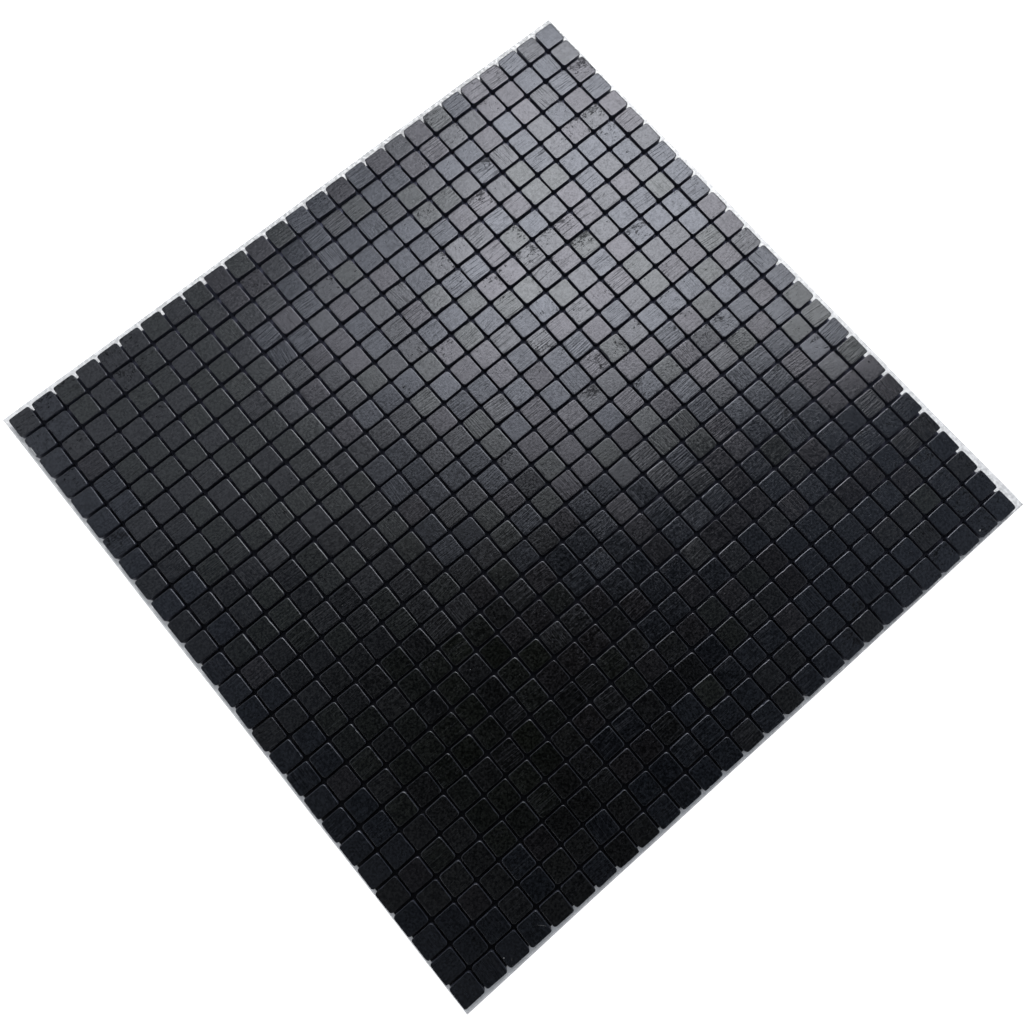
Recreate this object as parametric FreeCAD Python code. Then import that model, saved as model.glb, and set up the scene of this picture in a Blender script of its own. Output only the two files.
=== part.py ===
import FreeCAD, Part
import math
import os

# A self-adhesive sheet of mosaic tiles: small square chips of black stone stand in straight
# rows on a black adhesive film, and a white release liner covers the film's underside. The
# liner reaches a little past the chips on all four sides, by a different margin on each.
#
# The sheet lies face up on a level floor. The origin is the middle of its underside, +X
# runs along a row of chips, +Y goes from row to row, and +Z points out of the chips' faces.
# All sizes are in millimetres.

# Driving dimensions
COLUMN_COUNT = 27       # chips in one row
ROW_COUNT = 27          # rows of chips
CHIP_LENGTH = 10.1      # one chip along X
CHIP_WIDTH = 10.1       # one chip along Y
CHIP_THICKNESS = 4.0
JOINT_WIDTH = 1.0       # open joint between neighbouring chips, the same both ways
CORNER_RADIUS = 1.0     # how far a chip's corner is worn round, seen on its face

FILM_THICKNESS = 0.6
FILM_INSET = 0.3        # how far the film's edge stays inside the outer chips' sides

LINER_THICKNESS = 0.2
LINER_MARGIN_LEFT = 3.3   # liner beyond the chips on the -X side
LINER_MARGIN_RIGHT = 5.5  # liner beyond the chips on the +X side
LINER_MARGIN_FRONT = 3.3  # liner beyond the chips on the -Y side
LINER_MARGIN_BACK = 5.4   # liner beyond the chips on the +Y side

# Sizes that follow from the ones above
PITCH_X = CHIP_LENGTH + JOINT_WIDTH
PITCH_Y = CHIP_WIDTH + JOINT_WIDTH
FIELD_LENGTH = COLUMN_COUNT * PITCH_X - JOINT_WIDTH
FIELD_WIDTH = ROW_COUNT * PITCH_Y - JOINT_WIDTH
LINER_LENGTH = LINER_MARGIN_LEFT + FIELD_LENGTH + LINER_MARGIN_RIGHT
LINER_WIDTH = LINER_MARGIN_FRONT + FIELD_WIDTH + LINER_MARGIN_BACK

# Heights, from the floor up: liner, film, chips
FILM_BOTTOM = LINER_THICKNESS
CHIP_BOTTOM = FILM_BOTTOM + FILM_THICKNESS

# The chips' field starts this far from the origin, which is the liner's middle
FIELD_LEFT = -LINER_LENGTH / 2 + LINER_MARGIN_LEFT
FIELD_FRONT = -LINER_WIDTH / 2 + LINER_MARGIN_FRONT

# A flat that takes as much off the face's corner as the round corner does
CORNER_CUT = CORNER_RADIUS * math.sqrt(2 - math.pi / 2)


def flat_face(points):
    """A flat face inside the closed outline through these points."""
    return Part.Face(Part.makePolygon(points + points[:1]))


def corner_wedge(corner_x, corner_y, inward_x, inward_y):
    """The sliver worn off one upright edge of a chip.

    It takes CORNER_CUT off both sides of the face's corner, and runs out to nothing at the
    chip's foot. inward_x and inward_y are +1 or -1, and point from the corner into the chip.
    """
    foot = FreeCAD.Vector(corner_x, corner_y, 0)
    crown = FreeCAD.Vector(corner_x, corner_y, CHIP_THICKNESS)
    along_x = crown + FreeCAD.Vector(inward_x * CORNER_CUT, 0, 0)
    along_y = crown + FreeCAD.Vector(0, inward_y * CORNER_CUT, 0)
    shell = Part.Shell([
        flat_face([crown, along_x, along_y]),
        flat_face([foot, crown, along_x]),
        flat_face([foot, crown, along_y]),
        flat_face([foot, along_x, along_y]),
    ])
    return Part.Solid(shell)


def stone_chip():
    """One chip, with its lower left corner at the origin and its four face corners worn."""
    chip = Part.makeBox(CHIP_LENGTH, CHIP_WIDTH, CHIP_THICKNESS)
    wedges = [
        corner_wedge(0, 0, 1, 1),
        corner_wedge(CHIP_LENGTH, 0, -1, 1),
        corner_wedge(CHIP_LENGTH, CHIP_WIDTH, -1, -1),
        corner_wedge(0, CHIP_WIDTH, 1, -1),
    ]
    return chip.cut(wedges)


def chip_row(chip, row):
    """One row of like chips along X, standing clear of each other by the joint."""
    chips = []
    for column in range(COLUMN_COUNT):
        one = chip.copy()
        one.translate(FreeCAD.Vector(
            FIELD_LEFT + column * PITCH_X,
            FIELD_FRONT + row * PITCH_Y,
            CHIP_BOTTOM,
        ))
        chips.append(one)
    return Part.makeCompound(chips)


def adhesive_film():
    """The black film under all the chips, a little smaller than their field."""
    return Part.makeBox(
        FIELD_LENGTH - 2 * FILM_INSET,
        FIELD_WIDTH - 2 * FILM_INSET,
        FILM_THICKNESS,
        FreeCAD.Vector(FIELD_LEFT + FILM_INSET, FIELD_FRONT + FILM_INSET, FILM_BOTTOM),
    )


def release_liner():
    """The white paper liner under the film, which is peeled off before laying."""
    return Part.makeBox(
        LINER_LENGTH,
        LINER_WIDTH,
        LINER_THICKNESS,
        FreeCAD.Vector(-LINER_LENGTH / 2, -LINER_WIDTH / 2, 0),
    )


def save(shape, node):
    """Writes one sub-part to its own STEP file."""
    shape.exportStep(os.path.join("parts", node + ".step"))
    box = shape.BoundBox
    print(f"{node}: {len(shape.Solids)} solids, {shape.Volume:.0f} mm3, "
          f"{box.XLength:.1f} x {box.YLength:.1f} x {box.ZLength:.1f} mm")


os.makedirs("parts", exist_ok=True)

save(release_liner(), "release_liner")
save(adhesive_film(), "adhesive_film")

chip = stone_chip()
for row in range(ROW_COUNT):
    save(chip_row(chip, row), f"chip_row_{row + 1:02d}")
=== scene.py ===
# %% [markdown]
# # A sheet of black stone mosaic
#
# The object is a self-adhesive mosaic sheet: rows of small black stone chips on a black film,
# with a white release liner below. It lies face up. Blender gives it its looks: each chip gets
# its own slightly uneven form, and stone, film and paper get materials made from nodes.
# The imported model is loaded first, because every size below is read from it.

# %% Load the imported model
import math

import bpy
import numpy as np
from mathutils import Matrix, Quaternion, Vector


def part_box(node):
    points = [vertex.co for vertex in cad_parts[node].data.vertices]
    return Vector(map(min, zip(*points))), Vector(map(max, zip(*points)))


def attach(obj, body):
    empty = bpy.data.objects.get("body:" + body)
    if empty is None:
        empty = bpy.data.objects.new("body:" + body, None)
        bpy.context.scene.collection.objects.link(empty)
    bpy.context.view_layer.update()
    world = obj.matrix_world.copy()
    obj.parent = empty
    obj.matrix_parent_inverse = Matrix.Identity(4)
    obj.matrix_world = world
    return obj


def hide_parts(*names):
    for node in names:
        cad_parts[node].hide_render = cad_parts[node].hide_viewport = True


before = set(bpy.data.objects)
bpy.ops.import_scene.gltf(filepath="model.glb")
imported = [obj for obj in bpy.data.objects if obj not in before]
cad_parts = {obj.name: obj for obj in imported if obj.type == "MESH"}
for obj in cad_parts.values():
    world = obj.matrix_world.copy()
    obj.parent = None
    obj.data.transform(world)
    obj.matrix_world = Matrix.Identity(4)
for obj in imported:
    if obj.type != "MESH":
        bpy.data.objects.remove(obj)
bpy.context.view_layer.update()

# %% [markdown]
# ## Sizes, read from the frame
#
# The chips stand on a square grid, so the pitch is all that the loops need. One row's box gives
# a chip's width and the row's length, and the gap to the next row gives the joint. Working in
# millimetres keeps the numbers close to what a maker would measure, and one factor turns them
# into the metres that Blender's meshes are in.

# %% Read the grid of chips
MM = 0.001
COLUMNS = 27

ROW_NODES = sorted(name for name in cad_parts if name.startswith("chip_row_"))
ROWS = len(ROW_NODES)
GRID = (ROWS, COLUMNS)


def node_box_mm(node):
    """Lowest and highest corner of a CAD node, in millimetres."""
    low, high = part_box(node)
    return np.array(low) / MM, np.array(high) / MM


first_low, first_high = node_box_mm(ROW_NODES[0])
second_low, second_high = node_box_mm(ROW_NODES[1])
last_low, last_high = node_box_mm(ROW_NODES[-1])
film_low, film_high = node_box_mm("adhesive_film")
liner_low, liner_high = node_box_mm("release_liner")

JOINT = second_low[1] - first_high[1]
PITCH_Y = second_low[1] - first_low[1]
PITCH_X = (first_high[0] - first_low[0] + JOINT) / COLUMNS
CHIP_X = PITCH_X - JOINT
CHIP_Y = PITCH_Y - JOINT
FIELD_LOW = first_low[:2]
FIELD_HIGH = last_high[:2]
FOOT_Z = first_low[2]
FACE_Z = first_high[2]
print(f"{ROWS} rows of {COLUMNS}, pitch {PITCH_X:.2f} x {PITCH_Y:.2f} mm, joint {JOINT:.2f} mm")

# %% [markdown]
# ## The camera
#
# The photograph looks down on the sheet from about 75 degrees, a little off its middle, with
# one corner of the sheet towards the reader. Position, aim point and roll are enough to place
# such a camera, and all three are real measures. The lens is written as the focal length that a
# 36 mm wide sensor would need. The picture was cut a little off the lens's middle, which the
# camera's shift gives, as a share of the picture's width.

# %% Set up the camera
CAMERA_PLACE = Vector((-63.5, -74.7, 369.2)) * MM
CAMERA_AIM = Vector((-13.3, -23.8, 4.8)) * MM
CAMERA_ROLL = math.radians(4.45)
CAMERA_LENS = 31.61
CAMERA_SHIFT = (-0.0130, 0.0102)
CAMERA_RANGE = (0.01, 20)  # metres
SENSOR_WIDTH = 36


def aimed_turn(place, aim, roll=0.0):
    """The turn that points something's -Z from place to aim, then rolls it about that line."""
    sight = (aim - place).to_track_quat("-Z", "Y")
    return sight @ Quaternion((0, 0, 1), roll)


camera_data = bpy.data.cameras.new("camera")
camera_data.sensor_width = SENSOR_WIDTH
camera_data.lens = CAMERA_LENS
camera_data.shift_x, camera_data.shift_y = CAMERA_SHIFT
camera_data.clip_start, camera_data.clip_end = CAMERA_RANGE
camera = bpy.data.objects.new("camera", camera_data)
camera.location = CAMERA_PLACE
camera.rotation_mode = "QUATERNION"
camera.rotation_quaternion = aimed_turn(CAMERA_PLACE, CAMERA_AIM, CAMERA_ROLL)
bpy.context.scene.collection.objects.link(camera)
bpy.context.scene.camera = camera
print("camera distance in mm:", round((CAMERA_PLACE - CAMERA_AIM).length / MM))

# %% [markdown]
# ## Helpers for nodes
#
# A material is a tree of nodes joined by links. Written out in full, each node takes several
# lines. These helpers make a node and fill its sockets in one call: a value is set on the
# socket, and another node's output is linked to it. The kinds that come back again and again,
# such as noise, have a helper each. A group's own sockets come from `interface.new_socket`, so
# that a material can set them by name.

# %% Node helpers
def fill(tree, node, inputs):
    """Sets a node's input sockets to values, or links other nodes' outputs to them."""
    for name, value in inputs.items():
        if isinstance(value, bpy.types.NodeSocket):
            tree.links.new(value, node.inputs[name])
        else:
            node.inputs[name].default_value = value
    return node


def add(tree, kind, inputs, **settings):
    """Makes a node, with its settings and its inputs."""
    node = tree.nodes.new(kind)
    for name, value in settings.items():
        setattr(node, name, value)
    return fill(tree, node, inputs)


def maths(tree, operation, *values):
    """The output of one Math node."""
    return add(tree, "ShaderNodeMath", dict(enumerate(values)), operation=operation).outputs[0]


def times(tree, first, second):
    """One value times another."""
    return maths(tree, "MULTIPLY", first, second)


def noise_value(tree, vector, scale, detail, roughness=0.5, output="Fac"):
    """One output of a noise texture."""
    return add(tree, "ShaderNodeTexNoise", {
        "Vector": vector, "Scale": scale, "Detail": detail, "Roughness": roughness,
    }).outputs[output]


def step_up(tree, value, low, high, top=1.0, kind="LINEAR"):
    """From 0 where the value is low, up to the top where it is high."""
    return add(tree, "ShaderNodeMapRange", {
        "Value": value, "From Min": low, "From Max": high, "To Max": top,
    }, interpolation_type=kind).outputs["Result"]


def effect_group(name, output, **values):
    """An empty node group with named sockets, the outputs of its start, and its end.

    Its first input is a vector, and the others are numbers with these values.
    """
    tree = bpy.data.node_groups.new(name, "ShaderNodeTree")
    tree.interface.new_socket("Vector", in_out="INPUT", socket_type="NodeSocketVector")
    for title, value in values.items():
        socket = tree.interface.new_socket(title, in_out="INPUT", socket_type="NodeSocketFloat")
        socket.default_value = value
    tree.interface.new_socket(output, in_out="OUTPUT", socket_type="NodeSocketFloat")
    return tree, tree.nodes.new("NodeGroupInput").outputs, tree.nodes.new("NodeGroupOutput")


# %% [markdown]
# ## Effect: cloudy tone
#
# Neither stone nor film nor paper is even in tone: each has soft clouds a few millimetres
# across. One noise texture, stretched about its middle grey and clamped, gives such a mask, and
# every material uses it with a scale and contrast of its own.

# %% Group: cloudy tone
cloudy_tone, start, end = effect_group("cloudy_tone", "Mask", Scale=0.3, Contrast=1.0)
noise = noise_value(cloudy_tone, start["Vector"], start["Scale"], 2.0)
offset = maths(cloudy_tone, "SUBTRACT", noise, 0.5)
stretched = maths(cloudy_tone, "MULTIPLY_ADD", offset, start["Contrast"], 0.5)
clamped = add(cloudy_tone, "ShaderNodeClamp", {"Value": stretched})
fill(cloudy_tone, end, {"Mask": clamped.outputs[0]})
print("group cloudy_tone:", len(cloudy_tone.nodes), "nodes")

# %% [markdown]
# ## Effect: drawn lines
#
# The chips were sawn and honed, which leaves fine parallel lines, and paper has faint lines from
# its making too. Noise that is squeezed across the lines and drawn out along them looks just
# so. `Across` is the number of lines in a millimetre, and `Length` how many times longer than
# wide a line is. The first axis of the vector runs along the lines.

# %% Group: drawn lines
drawn_lines, start, end = effect_group("drawn_lines", "Height", Across=1.5, Length=15.0)
along = maths(drawn_lines, "DIVIDE", start["Across"], start["Length"])
squeeze = add(drawn_lines, "ShaderNodeCombineXYZ", {
    "X": along, "Y": start["Across"], "Z": start["Across"],
})
squeezed = add(drawn_lines, "ShaderNodeVectorMath", {
    0: start["Vector"], 1: squeeze.outputs[0],
}, operation="MULTIPLY")
fill(drawn_lines, end, {"Height": noise_value(drawn_lines, squeezed.outputs[0], 1.0, 1.0)})
print("group drawn_lines:", len(drawn_lines.nodes), "nodes")

# %% [markdown]
# ## Effect: spots
#
# Honing doesn't reach the deepest hollows, so dark, rough spots stay in the stone's face, and
# the paper has small flecks of the same kind. Spots are where a noise passes a limit, and
# `Share` moves that limit: at 0 there are none. A second, coarser noise bends the vector first,
# which gives the spots ragged outlines.

# %% Group: spots
BEND = (1.2, 1.2, 1.2)
BEND_SCALE = 1.3
LIMIT = 0.72
LIMIT_BY_SHARE = -0.16
SOFT_EDGE = 0.07

spots, start, end = effect_group("spots", "Mask", Scale=1.0, Share=0.3)
wander = noise_value(spots, start["Vector"], BEND_SCALE, 2.0, output="Color")
bent = add(spots, "ShaderNodeVectorMath", {
    0: wander, 1: BEND, 2: start["Vector"],
}, operation="MULTIPLY_ADD")
noise = noise_value(spots, bent.outputs[0], start["Scale"], 5.0, 0.7)
limit = maths(spots, "MULTIPLY_ADD", start["Share"], LIMIT_BY_SHARE, LIMIT)
full = maths(spots, "ADD", limit, SOFT_EDGE)
fill(spots, end, {"Mask": step_up(spots, noise, limit, full, kind="SMOOTHSTEP")})
print("group spots:", len(spots.nodes), "nodes")

# %% [markdown]
# ## Effect: worn edge and painted light
#
# The stone's edges are drawn lighter and the paper's edges greyer, but never evenly. Part of it
# is wear from handling, and part is painted light: a painted highlight on the stone's rims, and
# painted shade on the paper's edges on the sides that the lamps light most. The mesh says where
# its edges are in an attribute, and this group breaks that band up with noise.

# %% Group: worn edge and painted light
BROKEN_FROM_TO = (0.3, 0.62)

edge_wear_and_painted_light, start, end = effect_group("edge_wear_and_painted_light", "Mask", Edge=0.0, Amount=1.0)
broken = step_up(edge_wear_and_painted_light, noise_value(edge_wear_and_painted_light, start["Vector"], 1.1, 3.0), *BROKEN_FROM_TO)
worn = times(edge_wear_and_painted_light, broken, start["Edge"])
fill(edge_wear_and_painted_light, end, {"Mask": times(edge_wear_and_painted_light, worn, start["Amount"])})
print("group edge_wear_and_painted_light:", len(edge_wear_and_painted_light.nodes), "nodes")

# %% [markdown]
# ## Helpers for materials
#
# Every material starts from a Principled shader, reads attributes of its mesh, lays one colour
# over another where a mask says so, and adds up several masks, for its roughness as for its
# relief. A few small helpers say so in plain words. Heights are in millimetres here, so the
# Bump node's distance is one millimetre.

# %% Helpers for materials
def group_value(tree, group, **inputs):
    """The output of a node group that is placed in a material with these values."""
    node = add(tree, "ShaderNodeGroup", {}, node_tree=group)
    return fill(tree, node, inputs).outputs[0]


def attribute(tree, name, output="Fac"):
    """What the mesh holds under this name."""
    return add(tree, "ShaderNodeAttribute", {}, attribute_name=name).outputs[output]


def over(tree, under, mask, colour):
    """One colour laid over another, where the mask is white."""
    node = tree.nodes.new("ShaderNodeMix")
    node.data_type = "RGBA"
    sockets = {socket.identifier: socket for socket in node.inputs}
    parts = {"Factor_Float": mask, "A_Color": under, "B_Color": colour}
    for name, value in parts.items():
        if isinstance(value, bpy.types.NodeSocket):
            tree.links.new(value, sockets[name])
        else:
            sockets[name].default_value = value
    return next(socket for socket in node.outputs if socket.identifier == "Result_Color")


def shaded(tree, colour, amount):
    """A plain colour, made lighter or darker by a value that changes over the surface."""
    return add(tree, "ShaderNodeVectorMath", {
        0: colour[:3], "Scale": amount,
    }, operation="SCALE").outputs[0]


def summed(tree, start, *layers):
    """A start value, and several masks on top of it, each times its amount."""
    for mask, amount in layers:
        start = maths(tree, "MULTIPLY_ADD", mask, amount, start)
    return start


def relief(tree, *layers):
    """The normal of a surface with several heights, each times its depth in millimetres."""
    height = summed(tree, 0.0, *layers)
    return add(tree, "ShaderNodeBump", {"Distance": MM, "Height": height}).outputs[0]


def blank_material(name):
    """A material with only a Principled shader and its output."""
    material = bpy.data.materials.new(name)
    material.use_nodes = True
    tree = material.node_tree
    tree.nodes.clear()
    shader = tree.nodes.new("ShaderNodeBsdfPrincipled")
    output = tree.nodes.new("ShaderNodeOutputMaterial")
    tree.links.new(shader.outputs[0], output.inputs["Surface"])
    return material, tree, shader


# %% [markdown]
# ## Material: black honed stone
#
# The stone is nearly black, and most of what the eye sees on it is sheen. So its look is in its
# roughness and in small tilts of its surface more than in its colour: streaks and pits spread
# the light, and a chip with a different hone is a shade brighter or darker than its neighbours.
# The sheen is a little blue on most chips, and greenish or violet on others, so the same
# material is made once for each hue, and each chip takes one of them.

# %% Colours of the stone
# pale grey of the chips' rims: partly rubbed wear, partly a painted highlight along the edges
STONE_RUBBED_AND_HIGHLIGHT = (0.0032, 0.0034, 0.0038, 1)
# pale navy of the sawn sides: painted light, which gives the joints a navy glow
STONE_SAWN_PAINTED_LIGHT = (0.0330, 0.0360, 0.0510, 1)
STONE_BROKEN = (0.45, 0.45, 0.44, 1)
STONE_PIT = (0.0010, 0.0011, 0.0013, 1)
# the tint of the sheen, and the colour of the stone itself
STONE_HUES = {
    "blue": ((0.953, 0.985, 1.095, 1), (0.0014, 0.0018, 0.0024, 1)),
    "steel": ((0.971, 0.985, 1.066, 1), (0.0018, 0.0018, 0.0014, 1)),
    "green": ((0.970, 0.995, 1.040, 1), (0.0018, 0.0021, 0.0011, 1)),
    "violet": ((0.985, 0.973, 1.068, 1), (0.0021, 0.0018, 0.0016, 1)),
}
print("hues of the stone:", list(STONE_HUES))

# %% [markdown]
# A pit or a torn saw line has less sheen. The Metallic socket does that: a metal's sheen has
# its base colour, and here that is nearly black. Pits are drawn out along the saw lines and
# keep to the cloudier parts, a fine mottle changes the hone everywhere, and the edge is
# polished by handling. A chip's -X side, where the saw left it, is a little scuffed, and the
# sawn sides are matt. What differs from chip to chip is stored on the mesh as attributes, which
# the nodes read.

# %% Stone material
STONE_ROUGHNESS = 0.20
STONE_DULLNESS = 0.38
# mottle, grit and cloud are a half on average, and this takes away what they add by that
HONE_OFFSET = -0.07
PIT_STRETCH = (0.55, 1.0, 1.0)
SCRATCH_FROM_TO = (0.54, 0.68)


def black_stone(hue):
    """Black honed stone, with each chip's own tone, streaks, pits and wear."""
    material, tree, shader = blank_material("black_stone_" + hue)
    sheen_tint, body = STONE_HUES[hue]
    place = attribute(tree, "saw_space", "Vector")
    cloud = group_value(tree, cloudy_tone, Vector=place, Scale=0.35, Contrast=2.2)
    mottle = group_value(tree, cloudy_tone, Vector=place, Scale=1.0, Contrast=4.0)
    grit = group_value(tree, cloudy_tone, Vector=place, Scale=2.4, Contrast=3.0)
    coarse = group_value(tree, drawn_lines, Vector=place, Across=1.4, Length=14.0)
    fine = group_value(tree, drawn_lines, Vector=place, Across=1.9, Length=18.0)
    drawn = add(tree, "ShaderNodeVectorMath", {0: place, 1: PIT_STRETCH}, operation="MULTIPLY")
    share = times(tree, maths(tree, "ADD", cloud, 0.5), attribute(tree, "pitted"))
    pits = group_value(tree, spots, Vector=drawn.outputs[0], Scale=1.1, Share=share)
    edge = attribute(tree, "edge")
    # where the rims are painted lighter: rubbed wear, and a painted highlight along the edges
    rim = group_value(tree, edge_wear_and_painted_light, Vector=place, Edge=edge, Amount=0.8)
    streaked = attribute(tree, "streaked")
    broken = attribute(tree, "broken")
    # the sawn sides are matt, and their pale navy colour is painted light in the joints
    sawn = attribute(tree, "sawn")
    scratch = step_up(tree, fine, *SCRATCH_FROM_TO, streaked)

    shade = summed(tree, 0.2, (mottle, 1.4), (grit, 0.7))
    colour = shaded(tree, body, times(tree, shade, attribute(tree, "tone")))
    for mask, laid_over in (
        (pits, STONE_PIT), (rim, STONE_RUBBED_AND_HIGHLIGHT), (sawn, STONE_SAWN_PAINTED_LIGHT), (broken, STONE_BROKEN),
    ):
        colour = over(tree, colour, mask, laid_over)

    rough = summed(
        tree, maths(tree, "ADD", attribute(tree, "hone"), HONE_OFFSET),
        (mottle, 0.070), (grit, 0.05), (cloud, 0.02), (scratch, 0.12), (pits, 0.15),
        (attribute(tree, "scuffed"), 0.03), (maths(tree, "MAXIMUM", broken, sawn), 0.4),
    )
    torn = times(tree, scratch, 0.13)
    torn = maths(tree, "MAXIMUM", torn, times(tree, pits, 0.5))
    dull = summed(
        tree, maths(tree, "ADD", torn, STONE_DULLNESS),
        (cloud, 0.10), (mottle, -0.30), (grit, -0.23),
    )
    dull = times(tree, dull, maths(tree, "SUBTRACT", 1.0, edge))
    streaks = times(tree, coarse, streaked)
    normal = relief(tree, (streaks, -0.042), (scratch, 0.006), (pits, -0.008), (mottle, 0.008))
    fill(tree, shader, {
        "Base Color": colour, "Metallic": dull, "Roughness": rough, "Normal": normal,
        "Specular IOR Level": 0.575, "Specular Tint": sheen_tint,
    })
    return material


stone_materials = [black_stone(hue) for hue in STONE_HUES]
print("stone materials:", [material.name for material in stone_materials])

# %% [markdown]
# ## Material: black adhesive film
#
# The film shows only at the bottom of the joints. It is a matt, slightly tacky black skin. A
# pale navy tone laid over it is painted light: it lights the joints, mostly on the sheet's
# farther half, where the window's light falls. A few spots of dust lie all over it. Object
# coordinates are in metres, so they are scaled to millimetres first, and all scales below are in
# lines or clouds per millimetre.

# %% Film material
FILM_BLACK = (0.0010, 0.0011, 0.0015, 1)
FILM_DUST = (0.012, 0.012, 0.013, 1)
# pale navy painted light, laid over the film in the joints
FILM_PAINTED_LIGHT = (0.26, 0.27, 0.39, 1)


def place_in_mm(tree):
    """The point on the object, in millimetres."""
    coordinates = tree.nodes.new("ShaderNodeTexCoord")
    return add(tree, "ShaderNodeVectorMath", {
        0: coordinates.outputs["Object"], "Scale": 1 / MM,
    }, operation="SCALE").outputs[0]


film_material, tree, shader = blank_material("black_adhesive_film")
place = place_in_mm(tree)
cloud = group_value(tree, cloudy_tone, Vector=place, Scale=0.5, Contrast=1.6)
dust = group_value(tree, spots, Vector=place, Scale=0.8, Share=0.20)
colour = shaded(tree, FILM_BLACK, maths(tree, "MULTIPLY_ADD", cloud, 0.8, 0.6))
# painted light in the joints, most on the far half, where the window's light falls
joint_light = maths(tree, "MULTIPLY_ADD", cloud, 0.4, 0.8)
colour = over(tree, colour, times(tree, joint_light, attribute(tree, "painted_joint_light")), FILM_PAINTED_LIGHT)
fill(tree, shader, {
    "Base Color": over(tree, colour, times(tree, dust, 0.6), FILM_DUST),
    "Roughness": maths(tree, "MULTIPLY_ADD", cloud, 0.2, 0.6),
    "Normal": relief(tree, (cloud, 0.05), (dust, 0.03)),
    "Specular IOR Level": 0.2,
})
print("film material:", len(tree.nodes), "nodes")

# %% [markdown]
# ## Material: white release liner
#
# The liner is coated paper: white, with a low silky gloss, faint lines from the paper machine
# and a cloudy look-through. It picks up grey flecks of stone dust, and its cut edge is rubbed
# grey. Its upper side gets cloudy painted shade towards the right and the back, where the lamps
# light it most, and the mesh says where. The same groups serve as for the stone, with other
# scales.

# %% Liner material
PAPER_WHITE = (0.90, 0.895, 0.88, 1)
# painted shade, laid on the upper side where the lamps light the paper most
PAPER_PAINTED_SHADE = (0.78, 0.775, 0.765, 1)
# grey of the dust flecks, and of the cloudy painted shade
PAPER_DUST_AND_SHADE = (0.42, 0.42, 0.42, 1)
# grey of the rubbed cut edge, which on the lit right and back is also painted shade
PAPER_RUBBED_AND_SHADE = (0.45, 0.45, 0.45, 1)

liner_material, tree, shader = blank_material("white_release_liner")
place = place_in_mm(tree)
cloud = group_value(tree, cloudy_tone, Vector=place, Scale=0.45, Contrast=1.8)
lines = group_value(tree, drawn_lines, Vector=place, Across=0.9, Length=12.0)
flecks = group_value(tree, spots, Vector=place, Scale=1.1, Share=0.74)
smudged_shade = group_value(tree, cloudy_tone, Vector=place, Scale=0.75, Contrast=4.0)
# the cut edge's grey: rubbed wear, and painted shade on the lit right and back
rim = group_value(tree, edge_wear_and_painted_light, Vector=place, Edge=attribute(tree, "edge"), Amount=0.9)
# painted shade on the upper side, growing towards the right and the back
liner_painted_shade = attribute(tree, "liner_painted_shade")
smudged_shade = times(tree, smudged_shade, liner_painted_shade)
colour = shaded(tree, PAPER_WHITE, maths(tree, "MULTIPLY_ADD", cloud, 0.16, 0.90))
colour = over(tree, colour, liner_painted_shade, PAPER_PAINTED_SHADE)
for mask, amount in ((smudged_shade, 1.4), (flecks, 0.7)):
    colour = over(tree, colour, times(tree, mask, amount), PAPER_DUST_AND_SHADE)
fill(tree, shader, {
    "Base Color": over(tree, colour, rim, PAPER_RUBBED_AND_SHADE),
    "Roughness": maths(tree, "MULTIPLY_ADD", cloud, 0.12, 0.42),
    "Normal": relief(tree, (cloud, 0.03), (lines, 0.012), (smudged_shade, 0.25)),
    "Specular IOR Level": 0.2,
})
print("liner material:", len(tree.nodes), "nodes")

# %% [markdown]
# ## Material: pale stone dust
#
# Where a chip is nicked or scratched the stone shows pale, and small crumbs of it lie about.
# These marks are tiny, so a plain tone with some cloud in it is enough. How pale each mark is
# comes from the mesh.

# %% Dust material
DUST_GREY = (0.42, 0.42, 0.41, 1)

dust_material, tree, shader = blank_material("pale_stone_dust")
place = place_in_mm(tree)
cloud = group_value(tree, cloudy_tone, Vector=place, Scale=2.5, Contrast=2.0)
shade = times(tree, maths(tree, "MULTIPLY_ADD", cloud, 0.6, 0.6), attribute(tree, "pale"))
fill(tree, shader, {
    "Base Color": shaded(tree, DUST_GREY, shade),
    "Roughness": maths(tree, "MULTIPLY_ADD", cloud, 0.2, 0.6),
    "Normal": relief(tree, (cloud, 0.05)),
})
print("dust material:", len(tree.nodes), "nodes")

# %% [markdown]
# ## How the chips differ
#
# No two chips of a real sheet stand quite alike. Each is a little off its place, turned and
# tilted, and honed and rubbed to its own degree. All of that is worked out once, as tables with
# one number for each chip, and what is left to chance comes from a generator with a fixed seed,
# so that the sheet is the same every time. Whole neighbourhoods are off their place together,
# since the film was stretched here and there as the strips of chips were pressed on. A short
# list of soft pushes says where.

# %% Push whole neighbourhoods
ROW, COLUMN = np.mgrid[0:ROWS, 0:COLUMNS]
ALONG_X = COLUMN / (COLUMNS - 1)
ALONG_Y = ROW / (ROWS - 1)

# place as a share of the field's length and width, reach likewise, push in mm along X and Y
PUSHES = (
    (0.35, 0.56, 0.24, 0.40, 0.05),
    (0.05, 0.45, 0.20, 0.15, -0.25),
    (0.35, 0.00, 0.22, -0.50, -0.40),
    (0.00, 0.15, 0.25, 0.05, -0.70),
    (0.55, 0.38, 0.20, 0.15, 0.40),
    (0.60, 0.75, 0.26, 0.05, -0.35),
    (0.90, 0.75, 0.26, -0.10, 0.25),
    (1.00, 0.20, 0.20, 0.45, -0.05),
    (0.05, 0.95, 0.30, -0.45, 0.25),
    (0.85, 0.00, 0.25, 0.05, -0.60),
    (1.00, 1.00, 0.22, -0.10, 0.30),
    (0.60, 1.00, 0.22, -0.10, 0.40),
    (0.60, 0.05, 0.20, 0.15, -0.10),
    (0.65, 0.55, 0.20, -0.20, -0.05),
)

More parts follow.
